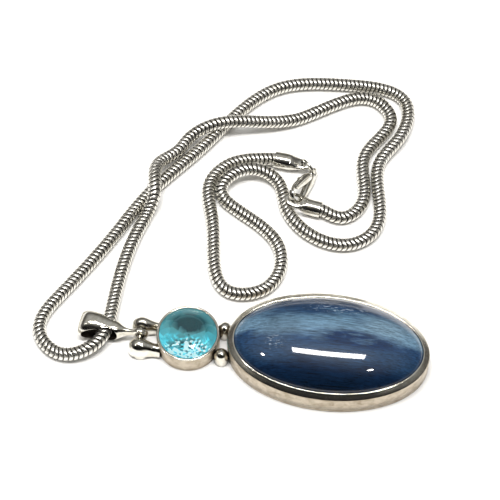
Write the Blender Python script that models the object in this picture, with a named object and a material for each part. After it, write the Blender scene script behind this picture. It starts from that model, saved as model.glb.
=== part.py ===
"""Pendant necklace: a round faceted stone and a long oval cabochon in silver bezels, hinged to a
tapered bail, on a round snake chain that closes with a lobster clasp.

Metres, +Z up. The pendant lies face up on z = 0 with its long axis along X: the bail is at -X, the
oval stone at +X, and the origin is under the middle of the pendant.
"""

from math import cos, pi, radians, sin

import bmesh
import bpy
import numpy as np
from mathutils import Matrix, Vector

# Round stone and its bezel
ROUND_X = -0.0132
ROUND_RADIUS = 0.00642
ROUND_WALL = 0.00038
ROUND_RIM_Z = 0.00438
ROUND_PLATE = 0.0006
TOPAZ_RADIUS = 0.0060
TOPAZ_TABLE_Z = 0.0053
TOPAZ_GIRDLE_Z = 0.0038
TOPAZ_CULET_Z = 0.0009
SEAT_HEIGHT_Z = 0.0032
SEAT_BORE = 0.0050

# Oval stone and its bezel
OVAL_X = 0.0154
OVAL_HALF_LENGTH = 0.02055
OVAL_HALF_WIDTH = 0.01226
OVAL_PLATE = 0.0008
OVAL_WALL = 0.0005
OVAL_WALL_Z = 0.0047
OVAL_LIP_Z = 0.0056
OVAL_LIP_INSET = 0.00125
CABOCHON_TOP_Z = 0.0104

# Silver posts between the two bezels
POST_RADIUS = 0.00148
POST_X = -0.0060
POST_TOP_Z = 0.0039
POST_Y = (0.00285, -0.00325)

# Hinge at the round bezel's outer side, with its pin along Y
HINGE_X = -0.0230
HINGE_Y = -0.00045
HINGE_Z = 0.00275
LUG_GAP = 0.0016
LUG_HALF_LENGTH = 0.0021
LUG_HALF_WIDTH = 0.00150
LUG_TOP_Z = 0.0042
PIN_RADIUS = 0.00055
PIN_HOLE_RADIUS = 0.00060
PIN_LENGTH = 0.0040
EYE_RADIUS = 0.00165
EYE_HOLE_RADIUS = 0.00068
EYE_THICKNESS = 0.0011

# Bail: a puffed, tapered loop, in a frame of its own whose u runs from the hinge to the wide end
BAIL_TURN = radians(-5.0)
BAIL_LENGTH = 0.01272
BAIL_OPENING_U = (0.0045, 0.0118)
BAIL_OPENING_HEIGHT = 0.0041
BAIL_OPENING_Z = 0.00275

# Chain and its fittings
CHAIN_RADIUS = 0.001375
CAP_RADIUS = 0.00175
CAP_SOCKET = 0.0012
WIRE_RADIUS = 0.0003
CLEARANCE = 0.00004

# The chain's own route, from inside the clasp's end cap, through the bail, to inside the other cap
CHAIN_ROUTE = (
    (0.00069, 0.04596, 0.00175), (-0.00110, 0.04618, 0.00175), (-0.0104, 0.0437, 0.0014),
    (-0.0136, 0.0391, 0.0014),
    (-0.0120, 0.0293, 0.0014), (-0.0058, 0.0122, 0.0014), (0.0009, 0.0139, 0.0014),
    (0.0022, 0.0252, 0.0014), (-0.0110, 0.0379, 0.0020), (-0.0063, 0.0420, 0.0030),
    (0.0010, 0.0402, 0.0015), (0.0031, 0.0345, 0.0014), (0.0181, 0.0269, 0.0014),
    (0.0223, 0.0306, 0.0014), (0.0222, 0.0485, 0.0014), (0.0256, 0.0543, 0.0019),
    (0.0263, 0.0649, 0.0014), (0.0119, 0.0680, 0.0014), (-0.0019, 0.0653, 0.0014),
    (-0.0169, 0.0472, 0.0014), (-0.0266, 0.0340, 0.0014), (-0.0316, 0.0242, 0.0014),
    (-0.0409, 0.0076, 0.0014), (-0.0438, -0.0014, 0.0014), (-0.0389, -0.0061, 0.0014),
    (-0.0313, -0.0030, 0.0026), (-0.0297, 0.0050, 0.0022), (-0.0274, 0.0244, 0.0014),
    (-0.0258, 0.0296, 0.0018), (-0.0249, 0.0331, 0.0038), (-0.0252, 0.0409, 0.0034),
    (-0.0217, 0.0451, 0.0026), (-0.0196, 0.0487, 0.0028), (-0.0164, 0.0512, 0.0038),
    (0.0034, 0.0576, 0.0014), (0.0206, 0.0640, 0.0014), (0.0234, 0.0605, 0.0014),
    (0.0187, 0.0495, 0.0014), (0.0188, 0.0364, 0.0014), (0.0153, 0.0332, 0.0014),
    (0.01125, 0.03420, 0.00175), (0.00950, 0.03452, 0.00175),
)
CHAIN_STATIONS = 78

# Where the fittings lie: the mouths of the end caps and the directions that they point in
CAP_A_MOUTH = (-0.0004, 0.0461, 0.00175)
CAP_A_AIM = (0.992, -0.120, 0)
CAP_A_HOLE = 0.0063
CAP_B_MOUTH = (0.01056, 0.03433, 0.00175)
CAP_B_AIM = (-0.984, 0.178, 0)

# Jump ring: its centre, the direction across its leaning plane and the one up it, and the places
# on it, as angles, that go through the cap's tongue and the clasp's eye
RING_CENTRE = (0.0070, 0.0444, 0.00272)
RING_ACROSS = (0.69, -0.72, 0)
RING_UP = (-0.03, -0.34, 0.94)
RING_RADIUS = 0.0018
RING_IN_CAP = radians(215)
RING_IN_CLASP = radians(-45)

# Clasp: X of its own frame runs from its eye to its nose, Y to the lever's side
CLASP_AIM = (-0.378, -0.890, 0.245)
CLASP_LEVER_SIDE = (-0.330, 0.360, 0.870)
CLASP_THICKNESS = 0.0016
CLASP_NOSE_THICKNESS = 0.0012
CLASP_SLOT = 0.0008
LEVER_PIVOT = (0.0022, 0.0009)
LEVER_THICKNESS = 0.0007
RIVET_RADIUS = 0.00028


def clear_scene():
    for old in list(bpy.data.objects):
        bpy.data.objects.remove(old, do_unlink=True)


def make_material(name, colour, roughness, metallic):
    material = bpy.data.materials.new(name)
    material.use_nodes = True
    shader = material.node_tree.nodes["Principled BSDF"]
    shader.inputs["Base Color"].default_value = (*colour, 1)
    shader.inputs["Roughness"].default_value = roughness
    shader.inputs["Metallic"].default_value = metallic
    material.diffuse_color = (*colour, 1)
    return material


def add_object(bm, name, material, matrix=None, sharp_angle=35):
    """A bmesh as a finished object, shaded smooth except along its sharp edges."""
    bmesh.ops.recalc_face_normals(bm, faces=bm.faces)
    mesh = bpy.data.meshes.new(name)
    bm.to_mesh(mesh)
    bm.free()
    mesh.shade_smooth()
    mesh.set_sharp_from_angle(angle=radians(sharp_angle))
    if material:
        mesh.materials.append(material)
    obj = bpy.data.objects.new(name, mesh)
    bpy.context.scene.collection.objects.link(obj)
    if matrix:
        obj.matrix_world = matrix
    return obj


def add_cutter(bm, name, matrix=None):
    cutter = add_object(bm, name, None, matrix)
    cutter.hide_render = True
    cutter.display_type = "WIRE"
    return cutter


def boolean(obj, other, operation):
    modifier = obj.modifiers.new(other.name, "BOOLEAN")
    modifier.object = other
    modifier.operation = operation
    modifier.solver = "EXACT"


def lofted(sections, ring=False):
    """A bmesh skinned over closed sections of equal point counts. A ring's last section meets its
    first one; otherwise both ends are capped."""
    bm = bmesh.new()
    rows = [[bm.verts.new(point) for point in section] for section in sections]
    pairs = list(zip(rows, rows[1:]))
    if ring:
        pairs.append((rows[-1], rows[0]))
    for low, high in pairs:
        for i in range(len(low)):
            j = (i + 1) % len(low)
            bm.faces.new((low[i], low[j], high[j], high[i]))
    if not ring:
        bm.faces.new(reversed(rows[0]))
        bm.faces.new(rows[-1])
    return bm


def ellipse(half_x, half_y, z, count, centre=(0, 0)):
    angles = [2 * pi * i / count for i in range(count)]
    return [(centre[0] + half_x * cos(a), centre[1] + half_y * sin(a), z) for a in angles]


def stacked(profile, half_x, half_y, count, centre=(0, 0), ring=False):
    """Ellipses stacked along Z: each profile entry is (outward offset, z)."""
    sections = [ellipse(half_x + off, half_y + off, z, count, centre) for off, z in profile]
    return lofted(sections, ring)


def cylinder(radius, length, count=24, bevel=0.0):
    """A cylinder along Z about the origin, with its end edges bevelled."""
    half = length / 2
    profile = [(0, -half), (0, half)]
    if bevel:
        profile = [(-bevel, -half), (0, bevel - half), (0, half - bevel), (-bevel, half)]
    return stacked(profile, radius, radius, count)


def frame_matrix(origin, x_axis, y_axis):
    """A frame with the given X, and with Y as near as can be to the given one."""
    x = Vector(x_axis).normalized()
    z = x.cross(Vector(y_axis)).normalized()
    y = z.cross(x)
    return Matrix.LocRotScale(Vector(origin), Matrix((x, y, z)).transposed(), None)


def along_y(origin):
    """A frame whose Z runs along the world's Y."""
    return Matrix.Translation(origin) @ Matrix.Rotation(-pi / 2, 4, "X")


# Round setting


def make_round_setting(silver, stone):
    centre = (ROUND_X, 0)
    plate = stacked([(-0.0001, 0), (0, 0.0001), (0, ROUND_PLATE)], ROUND_RADIUS, ROUND_RADIUS, 48, centre)
    add_object(plate, "round_backplate", silver)
    foot = ROUND_PLATE + CLEARANCE
    inside = -ROUND_WALL
    profile = [
        (inside, foot), (0, foot), (0, ROUND_RIM_Z - 0.00012), (-0.00012, ROUND_RIM_Z),
        (-0.00045, ROUND_RIM_Z), (-0.00055, ROUND_RIM_Z - 0.0001), (inside, ROUND_RIM_Z - 0.0005),
    ]
    add_object(stacked(profile, ROUND_RADIUS, ROUND_RADIUS, 48, centre, ring=True), "round_bezel", silver)
    seat = ROUND_RADIUS + inside - CLEARANCE
    bore = SEAT_BORE - seat
    profile = [(bore, foot), (0, foot), (0, SEAT_HEIGHT_Z), (bore, SEAT_HEIGHT_Z - 0.0002)]
    add_object(stacked(profile, seat, seat, 40, centre, ring=True), "stone_seat_ring", silver)
    add_object(brilliant_cut(), "round_topaz", stone, Matrix.Translation((ROUND_X, 0, 0)), 5)


def brilliant_cut():
    """A shallow round brilliant: table, crown, thin girdle and pavilion, as a convex hull."""
    rows = (
        (8, 0.57, TOPAZ_TABLE_Z, 0.5), (8, 0.80, 0.55 * TOPAZ_TABLE_Z + 0.45 * TOPAZ_GIRDLE_Z, 0.0),
        (32, 1.0, TOPAZ_GIRDLE_Z + 0.0001, 0.0), (32, 1.0, TOPAZ_GIRDLE_Z - 0.0001, 0.0),
        (8, 0.45, 0.52 * TOPAZ_GIRDLE_Z + 0.48 * TOPAZ_CULET_Z, 0.5),
    )
    bm = bmesh.new()
    for count, share, z, turn in rows:
        for i in range(count):
            angle = 2 * pi * (i + turn) / count
            bm.verts.new((share * TOPAZ_RADIUS * cos(angle), share * TOPAZ_RADIUS * sin(angle), z))
    bm.verts.new((0, 0, TOPAZ_CULET_Z))
    bmesh.ops.convex_hull(bm, input=bm.verts)
    bmesh.ops.dissolve_limit(bm, angle_limit=radians(0.5), verts=bm.verts, edges=bm.edges)
    return bm


# Oval setting


def make_oval_setting(silver, stone):
    sizes = (OVAL_HALF_LENGTH, OVAL_HALF_WIDTH, 64, (OVAL_X, 0))
    plate = stacked([(-0.0001, 0), (0, 0.0001), (0, OVAL_PLATE)], *sizes)
    add_object(plate, "oval_backplate", silver)
    foot = OVAL_PLATE + CLEARANCE
    profile = [
        (-OVAL_WALL, foot), (0, foot), (0, OVAL_WALL_Z), (-0.0003, OVAL_WALL_Z + 0.0005),
        (-0.0008, OVAL_LIP_Z - 0.0001), (-OVAL_LIP_INSET, OVAL_LIP_Z),
        (-OVAL_LIP_INSET - 0.00005, OVAL_LIP_Z - 0.00025), (-0.0009, OVAL_WALL_Z),
        (-OVAL_WALL, OVAL_WALL_Z - 0.0006),
    ]
    add_object(stacked(profile, *sizes, ring=True), "oval_bezel", silver)
    stone_profile = [(-0.0008, foot), (-OVAL_WALL - CLEARANCE, foot + 0.0003), (-0.00056, 0.0039)]
    stone_profile += [(-0.00098, OVAL_WALL_Z), (-0.00142, OVAL_LIP_Z - 0.0003)]
    sections = [
        ellipse(OVAL_HALF_LENGTH + off, OVAL_HALF_WIDTH + off, z, 64, (OVAL_X, 0))
        for off, z in stone_profile
    ]
    shoulder_z = stone_profile[-1][1]
    half_x = OVAL_HALF_LENGTH + stone_profile[-1][0]
    half_y = OVAL_HALF_WIDTH + stone_profile[-1][0]
    for share in (0.975, 0.93, 0.86, 0.77, 0.66, 0.53, 0.38, 0.22, 0.08):
        rise = (1 - share**2.3) ** 0.72
        z = shoulder_z + (CABOCHON_TOP_Z - shoulder_z) * rise
        sections.append(ellipse(half_x * share, half_y * share, z, 64, (OVAL_X, 0)))
    add_object(lofted(sections), "oval_kyanite_cabochon", stone)


# Posts between the bezels, and the hinge


def bezel_cutters():
    """The outsides of both bezels, grown by the clearance, for what is soldered against them."""
    grown = [(CLEARANCE, -0.001), (CLEARANCE, 0.008)]
    round_bm = stacked(grown, ROUND_RADIUS, ROUND_RADIUS, 96, (ROUND_X, 0))
    oval_bm = stacked(grown, OVAL_HALF_LENGTH, OVAL_HALF_WIDTH, 128, (OVAL_X, 0))
    return add_cutter(round_bm, "round_bezel_cutter"), add_cutter(oval_bm, "oval_bezel_cutter")


def domed_post(half_x, half_y, top, count):
    dome = 0.45 * top
    profile = [(1, 0), (1, top - dome), (0.93, top - 0.55 * dome), (0.74, top - 0.22 * dome)]
    profile += [(0.45, top - 0.05 * dome), (0.15, top)]
    return lofted([ellipse(half_x * share, half_y * share, z, count) for share, z in profile])


def make_posts(silver, cutters):
    for name, y in zip(("link_post_right", "link_post_left"), POST_Y):
        post = domed_post(POST_RADIUS, POST_RADIUS, POST_TOP_Z, 28)
        obj = add_object(post, name, silver, Matrix.Translation((POST_X, y, 0)))
        for cutter in cutters:
            boolean(obj, cutter, "DIFFERENCE")


def make_hinge(silver, round_cutter):
    hole = add_cutter(
        cylinder(PIN_HOLE_RADIUS, PIN_LENGTH + 2 * CLEARANCE), "pin_hole_cutter",
        along_y((HINGE_X, HINGE_Y, HINGE_Z)),
    )
    for name, side in (("hinge_lug_right", 1), ("hinge_lug_left", -1)):
        y = HINGE_Y + side * (LUG_GAP / 2 + LUG_HALF_WIDTH)
        lug = domed_post(LUG_HALF_LENGTH, LUG_HALF_WIDTH, LUG_TOP_Z, 32)
        obj = add_object(lug, name, silver, Matrix.Translation((HINGE_X + 0.0003, y, 0)))
        web_length = ROUND_X - ROUND_RADIUS - HINGE_X + 0.0008
        web = stacked(
            [(0, 0.0002), (0, 0.0026), (-0.0004, 0.0034)], web_length / 2, 0.0011, 20,
            (HINGE_X + web_length / 2 + 0.0009, y - side * 0.0002),
        )
        boolean(obj, add_cutter(web, name + "_web"), "UNION")
        boolean(obj, round_cutter, "DIFFERENCE")
        boolean(obj, hole, "DIFFERENCE")
    pin = cylinder(PIN_RADIUS, PIN_LENGTH, 20, 0.0001)
    add_object(pin, "hinge_pin", silver, along_y((HINGE_X, HINGE_Y, HINGE_Z)))


# Bail


def bail_section(u, half_width, low, high, count=20):
    """One section across the bail: flat sides, and crowned above and below."""
    points = []
    middle = (low + high) / 2
    half_height = (high - low) / 2
    for i in range(count):
        angle = 2 * pi * (i + 0.5) / count
        across = abs(cos(angle)) ** 0.45 * (1 if cos(angle) > 0 else -1)
        up = abs(sin(angle)) ** 0.8 * (1 if sin(angle) > 0 else -1)
        crown = 1 - 0.13 * across**2
        points.append((u, half_width * across, middle + half_height * up * crown))
    return points


def make_bail(silver):
    """The loop is one tapered form with a lens-shaped way through it, joined to a flat eye."""
    stations = (
        (0.0012, 0.00048, 0.0019, 0.0036), (0.0027, 0.00055, 0.0016, 0.0033),
        (0.0036, 0.00070, 0.0011, 0.0032), (0.0046, 0.00115, 0.0006, 0.0036),
        (0.0058, 0.00170, 0.0003, 0.0043), (0.0072, 0.00215, 0.0001, 0.0050),
        (0.0086, 0.00250, 0.0, 0.0055), (0.0100, 0.00275, 0.0, 0.0057),
        (0.0112, 0.00285, 0.0002, 0.0055), (0.0121, 0.00285, 0.0008, 0.0048),
        (0.01255, 0.00280, 0.0015, 0.0040), (BAIL_LENGTH, 0.00275, 0.0024, 0.0031),
    )
    place = Matrix.Translation((HINGE_X, HINGE_Y, 0)) @ Matrix.Rotation(pi + BAIL_TURN, 4, "Z")
    bail = add_object(lofted([bail_section(*row) for row in stations]), "bail", silver, place)

    start, end = BAIL_OPENING_U
    steps = 28
    outline = []
    for i in range(steps):
        angle = 2 * pi * (i + 0.5) / steps
        along = abs(cos(angle)) ** 0.85 * (1 if cos(angle) > 0 else -1)
        up = abs(sin(angle)) ** 0.85 * (1 if sin(angle) > 0 else -1)
        u = (start + end) / 2 + (end - start) / 2 * along
        outline.append((u, BAIL_OPENING_Z + BAIL_OPENING_HEIGHT / 2 * up * (0.96 + 0.04 * along)))
    way = lofted([[(u, y, z) for u, z in outline] for y in (-0.005, 0.005)])
    boolean(bail, add_cutter(way, "bail_way_cutter", place), "DIFFERENCE")

    eye_place = place @ along_y((0, 0, HINGE_Z))
    eye = cylinder(EYE_RADIUS, EYE_THICKNESS, 28, 0.0002)
    boolean(bail, add_cutter(eye, "bail_eye", eye_place), "UNION")
    hole = cylinder(EYE_HOLE_RADIUS, 3 * EYE_THICKNESS, 20)
    boolean(bail, add_cutter(hole, "bail_eye_hole_cutter", eye_place), "DIFFERENCE")


# Chain


def smooth_route(points, count):
    """Evenly spaced points on the natural cubic spline through the route's own points."""
    points = np.array(points)
    steps = np.linalg.norm(np.diff(points, axis=0), axis=1)
    knots = np.concatenate([[0], np.cumsum(steps)])
    last = len(points) - 1
    system = np.eye(last + 1)
    right = np.zeros_like(points)
    for i in range(1, last):
        system[i, i - 1 : i + 2] = steps[i - 1], 2 * (steps[i - 1] + steps[i]), steps[i]
        slopes = (points[i + 1] - points[i]) / steps[i] - (points[i] - points[i - 1]) / steps[i - 1]
        right[i] = 6 * slopes
    bends = np.linalg.solve(system, right)

    def at(place):
        i = min(int(np.searchsorted(knots, place, side="right")) - 1, last - 1)
        ahead, behind = knots[i + 1] - place, place - knots[i]
        step = steps[i]
        curve = (bends[i] * ahead**3 + bends[i + 1] * behind**3) / (6 * step)
        curve += (points[i] / step - bends[i] * step / 6) * ahead
        return curve + (points[i + 1] / step - bends[i + 1] * step / 6) * behind

    dense = np.array([at(place) for place in np.linspace(0, knots[-1], 12 * count)])
    dense[:, 2] = np.maximum(dense[:, 2], CHAIN_RADIUS)
    run = np.concatenate([[0], np.cumsum(np.linalg.norm(np.diff(dense, axis=0), axis=1))])
    even = np.linspace(0, run[-1], count)
    return np.stack([np.interp(even, run, dense[:, axis]) for axis in range(3)], axis=1)


def make_chain(silver):
    """The chain's envelope: a plain tube from cap to cap."""
    curve = bpy.data.curves.new("snake_chain", "CURVE")
    curve.dimensions = "3D"
    curve.bevel_depth = CHAIN_RADIUS
    curve.bevel_resolution = 2
    curve.use_fill_caps = True
    curve.materials.append(silver)
    bent = smooth_route(CHAIN_ROUTE[1:-1], CHAIN_STATIONS)
    route = [CHAIN_ROUTE[0], *bent, CHAIN_ROUTE[-1]]
    spline = curve.splines.new("POLY")
    spline.points.add(len(route) - 1)
    for point, place in zip(spline.points, route):
        point.co = (*place, 1)
    chain = bpy.data.objects.new("snake_chain", curve)
    bpy.context.scene.collection.objects.link(chain)


# End caps, in frames whose X runs from the mouth to the far end and whose Z is up


def rounded_section(x, rise, half_width, half_height, count=24):
    points = []
    for i in range(count):
        angle = 2 * pi * i / count
        points.append((x, half_width * cos(angle), rise + half_height * sin(angle)))
    return points


def cap_blank(name, rows, mouth, aim, silver):
    """A cap's outside, with the socket for the chain's end cut into its mouth."""
    place = frame_matrix(mouth, aim, Vector((0, 0, 1)).cross(Vector(aim)))
    cap = add_object(lofted([rounded_section(*row) for row in rows]), name, silver, place)
    socket = cylinder(CHAIN_RADIUS + 0.00006, 2 * CAP_SOCKET, 28)
    turned = place @ Matrix.Rotation(pi / 2, 4, "Y")
    boolean(cap, add_cutter(socket, name + "_socket_cutter", turned), "DIFFERENCE")
    return cap, place


def make_cap_a(silver):
    """A socket that flattens to a tongue, with a hole through it for the jump ring."""
    r = CAP_RADIUS
    rows = (
        (0, 0, 0.94 * r, 0.94 * r), (0.00015, 0, r, r), (0.0030, 0, r, r),
        (0.0040, 0, 0.95 * r, 0.76 * r), (0.0050, 0, 0.85 * r, 0.40 * r),
        (0.0060, 0, 0.76 * r, 0.27 * r), (0.0068, 0, 0.64 * r, 0.25 * r),
        (0.0073, 0, 0.42 * r, 0.23 * r), (0.0075, 0, 0.18 * r, 0.18 * r),
    )
    cap, _ = cap_blank("end_cap_clasp_side", rows, CAP_A_MOUTH, CAP_A_AIM, silver)
    hole = cylinder(WIRE_RADIUS + 0.00026, 0.004, 20)
    boolean(cap, add_cutter(hole, "tongue_hole_cutter", ring_frame(RING_IN_CAP)), "DIFFERENCE")


def make_cap_b(silver):
    """A socket that opens out into a long loop, its underside rising towards its nose."""
    r = CAP_RADIUS
    rows = (
        (0, 0, 0.94 * r, 0.94 * r), (0.00015, 0, r, r), (0.0026, 0, r, r),
        (0.0032, 0.00022, 1.01 * r, 0.00152), (0.0040, 0.00070, 1.03 * r, 0.00100),
        (0.0048, 0.00118, 1.03 * r, 0.00050), (0.0056, 0.00132, 1.00 * r, 0.00036),
        (0.0064, 0.00138, 0.90 * r, 0.00033), (0.0072, 0.00146, 0.70 * r, 0.00030),
        (0.0077, 0.00148, 0.36 * r, 0.00027), (0.0079, 0.00148, 0.16 * r, 0.00021),
    )
    cap, place = cap_blank("end_cap_loop_side", rows, CAP_B_MOUTH, CAP_B_AIM, silver)
    angles = [2 * pi * i / 28 for i in range(28)]
    slot = lofted([
        [(0.0051 + 0.0022 * cos(a), (0.00112 - 0.00012 * cos(a)) * sin(a), z) for a in angles]
        for z in (-0.003, 0.004)
    ])
    boolean(cap, add_cutter(slot, "cap_loop_cutter", place), "DIFFERENCE")


# Jump ring


def ring_matrix():
    return frame_matrix(RING_CENTRE, RING_ACROSS, RING_UP)


def ring_frame(angle):
    """A frame at one place on the ring's wire, with its Z along the wire."""
    turned = ring_matrix() @ Matrix.Rotation(angle, 4, "Z")
    return turned @ Matrix.Translation((RING_RADIUS, 0, 0)) @ Matrix.Rotation(-pi / 2, 4, "X")


def make_jump_ring(silver):
    sections = []
    for i in range(32):
        out = Vector((cos(2 * pi * i / 32), sin(2 * pi * i / 32), 0))
        section = []
        for j in range(10):
            turn = 2 * pi * j / 10
            reach = RING_RADIUS + WIRE_RADIUS * cos(turn)
            section.append(out * reach + Vector((0, 0, WIRE_RADIUS * sin(turn))))
        sections.append(section)
    add_object(lofted(sections, ring=True), "jump_ring", silver, ring_matrix())


# Clasp


def bar_along(rows, count=14, power=0.75):
    """A bar of rounded section along a path in the XY plane. Each row: x, y, width, thickness."""
    sections = []
    for i, (x, y, width, thickness) in enumerate(rows):
        before, after = rows[max(i - 1, 0)], rows[min(i + 1, len(rows) - 1)]
        along = Vector((after[0] - before[0], after[1] - before[1])).normalized()
        section = []
        for j in range(count):
            angle = 2 * pi * (j + 0.5) / count
            across = abs(cos(angle)) ** power * (1 if cos(angle) > 0 else -1) * width / 2
            up = abs(sin(angle)) ** power * (1 if sin(angle) > 0 else -1) * thickness / 2
            section.append((x - along.y * across, y + along.x * across, up))
        sections.append(section)
    return lofted(sections)


def make_clasp(silver, spring_steel):
    eye = ring_frame(RING_IN_CLASP)
    place = frame_matrix(eye.translation, CLASP_AIM, CLASP_LEVER_SIDE)
    t, nose = CLASP_THICKNESS, CLASP_NOSE_THICKNESS
    spine = (
        (-0.00115, 0.0, 0.0008, 0.0008), (-0.0009, 0.0, 0.0015, 0.0010), (-0.0004, 0.0, 0.0021, 0.0011),
        (0.0003, -0.00003, 0.0023, 0.0012), (0.0012, -0.00045, 0.0021, 0.0014),
        (0.0024, -0.00080, 0.0022, t), (0.0040, -0.00120, 0.0019, t), (0.0058, -0.00160, 0.0014, t),
        (0.0072, -0.00188, 0.0008, 0.0013), (0.0084, -0.00170, 0.0007, nose),
        (0.0093, -0.00100, 0.0007, nose), (0.0097, 0.0, 0.0007, nose), (0.0096, 0.0008, 0.0007, nose),
        (0.0092, 0.00145, 0.0006, nose), (0.0089, 0.00170, 0.0004, 0.0009),
    )
    body = add_object(bar_along(spine), "clasp_body", silver, place)
    cheeks = (
        (0.0016, 0.00000, 0.0008, 0.0011), (0.0020, 0.00030, 0.0015, 0.0015),
        (0.0026, 0.0006, 0.0021, 0.0015), (0.0042, 0.00085, 0.0019, 0.0015),
        (0.0050, 0.0010, 0.0013, 0.0013),
    )
    boolean(body, add_cutter(bar_along(cheeks), "clasp_cheeks", place), "UNION")
    pivot = place @ Matrix.Translation((*LEVER_PIVOT, 0))
    bore = add_cutter(cylinder(RIVET_RADIUS + CLEARANCE, 0.004, 16), "rivet_bore_cutter", pivot)
    boolean(body, bore, "DIFFERENCE")
    hole = cylinder(WIRE_RADIUS + 0.00026, 0.005, 20)
    boolean(body, add_cutter(hole, "clasp_eye_cutter", eye), "DIFFERENCE")
    slot = bmesh.new()
    bmesh.ops.create_cube(slot, size=1)
    bmesh.ops.scale(slot, vec=(0.0046, 0.0030, CLASP_SLOT), verts=slot.verts)
    bmesh.ops.translate(slot, vec=(0.0036, 0.00163, 0), verts=slot.verts)
    boolean(body, add_cutter(slot, "clasp_slot_cutter", place), "DIFFERENCE")

    rivet = cylinder(RIVET_RADIUS, t, 16, 0.00005)
    add_object(rivet, "trigger_rivet", silver, pivot)

    lever = (
        (0.0016, 0.00085, 0.0006, LEVER_THICKNESS), (0.0022, 0.0009, 0.0010, LEVER_THICKNESS),
        (0.0046, 0.00135, 0.0008, LEVER_THICKNESS), (0.0084, 0.00185, 0.0006, LEVER_THICKNESS),
    )
    trigger = add_object(bar_along(lever), "clasp_trigger", silver, place)
    blade = (
        (0.0055, 0.00149, 0.0006, 0.0008), (0.0059, 0.00154, 0.0008, nose),
        (0.0080, 0.00182, 0.0008, nose), (0.0087, 0.00190, 0.0005, 0.0009),
    )
    boolean(trigger, add_cutter(bar_along(blade), "lever_blade", place), "UNION")
    nub = (
        (0.0052, 0.0013, 0.0008, 0.0007), (0.0052, 0.0019, 0.0009, 0.0009),
        (0.0052, 0.0022, 0.0010, 0.0011), (0.0052, 0.0024, 0.0006, 0.0007),
    )
    boolean(trigger, add_cutter(bar_along(nub), "lever_nub", place), "UNION")
    boolean(trigger, bore, "DIFFERENCE")

    leaf = (
        (0.0015, 0.00022, 0.00011, 0.0006), (0.0024, 0.00030, 0.00011, 0.0006),
        (0.0032, 0.00045, 0.00011, 0.0006), (0.0038, 0.00062, 0.00011, 0.0006),
    )
    add_object(bar_along(leaf, 8), "trigger_spring", spring_steel, place)


def main():
    clear_scene()
    silver = make_material("Sterling silver", (0.80, 0.78, 0.74), 0.22, 1.0)
    chain_silver = make_material("Chain silver", (0.72, 0.70, 0.66), 0.28, 1.0)
    spring_steel = make_material("Spring steel", (0.55, 0.56, 0.58), 0.3, 1.0)
    topaz = make_material("Blue topaz", (0.16, 0.62, 0.70), 0.02, 0.0)
    kyanite = make_material("Blue kyanite", (0.05, 0.13, 0.30), 0.08, 0.0)
    make_round_setting(silver, topaz)
    make_oval_setting(silver, kyanite)
    cutters = bezel_cutters()
    make_posts(silver, cutters)
    make_hinge(silver, cutters[0])
    make_bail(silver)
    make_chain(chain_silver)
    make_cap_a(silver)
    make_cap_b(silver)
    make_jump_ring(silver)
    make_clasp(silver, spring_steel)


main()
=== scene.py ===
"""Pendant necklace on a pale table: the finished looks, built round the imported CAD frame."""

from math import cos, pi, radians, sin

import bmesh
import bpy
import numpy as np
from mathutils import Matrix, Vector


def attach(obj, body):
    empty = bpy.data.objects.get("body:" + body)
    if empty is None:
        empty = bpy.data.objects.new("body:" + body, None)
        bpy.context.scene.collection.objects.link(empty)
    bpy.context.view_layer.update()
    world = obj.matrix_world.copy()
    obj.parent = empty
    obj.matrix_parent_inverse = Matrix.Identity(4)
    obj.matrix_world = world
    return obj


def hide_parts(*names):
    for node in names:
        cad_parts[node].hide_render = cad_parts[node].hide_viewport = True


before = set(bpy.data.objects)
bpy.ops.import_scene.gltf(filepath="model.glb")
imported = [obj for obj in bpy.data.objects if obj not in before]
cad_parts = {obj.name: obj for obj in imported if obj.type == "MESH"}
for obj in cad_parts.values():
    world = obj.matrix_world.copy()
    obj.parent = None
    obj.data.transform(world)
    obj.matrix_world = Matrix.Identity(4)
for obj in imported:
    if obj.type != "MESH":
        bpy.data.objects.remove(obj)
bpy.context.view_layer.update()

# Sizes in metres, the same as the CAD's: the round setting
ROUND_X = -0.0132
ROUND_RADIUS = 0.00642
ROUND_WALL = 0.00038
ROUND_RIM_Z = 0.00438
ROUND_FOOT = 0.00064
TOPAZ_RADIUS = 0.0060
TOPAZ_TABLE_Z = 0.0053
TOPAZ_GIRDLE_Z = 0.0038

OVAL_X = 0.0154
OVAL_HALF_LENGTH = 0.02055
OVAL_HALF_WIDTH = 0.01226
OVAL_FOOT = 0.00084
OVAL_WALL = 0.0005
OVAL_WALL_Z = 0.0047
OVAL_LIP_Z = 0.0056
OVAL_LIP_INSET = 0.00125
CABOCHON_TOP_Z = 0.0104

POST_RADIUS = 0.00148
POST_X = -0.0060
POST_TOP_Z = 0.0039
POST_Y = (0.00285, -0.00325)

HINGE_X = -0.0230
HINGE_Y = -0.00045
HINGE_Z = 0.00275
LUG_GAP = 0.0016
LUG_HALF_LENGTH = 0.0021
LUG_HALF_WIDTH = 0.00150
PIN_HOLE_RADIUS = 0.00060
EYE_RADIUS = 0.00165
EYE_HOLE_RADIUS = 0.00068
EYE_THICKNESS = 0.0011

BAIL_TURN = radians(-5.0)
BAIL_LENGTH = 0.01272
BAIL_OPENING_U = (0.0045, 0.0118)
BAIL_OPENING_HEIGHT = 0.0041
BAIL_OPENING_Z = 0.00275

CHAIN_RADIUS = 0.001375
CAP_RADIUS = 0.00175
CAP_SOCKET = 0.0012
WIRE_RADIUS = 0.0003
CLEARANCE = 0.00004

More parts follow.
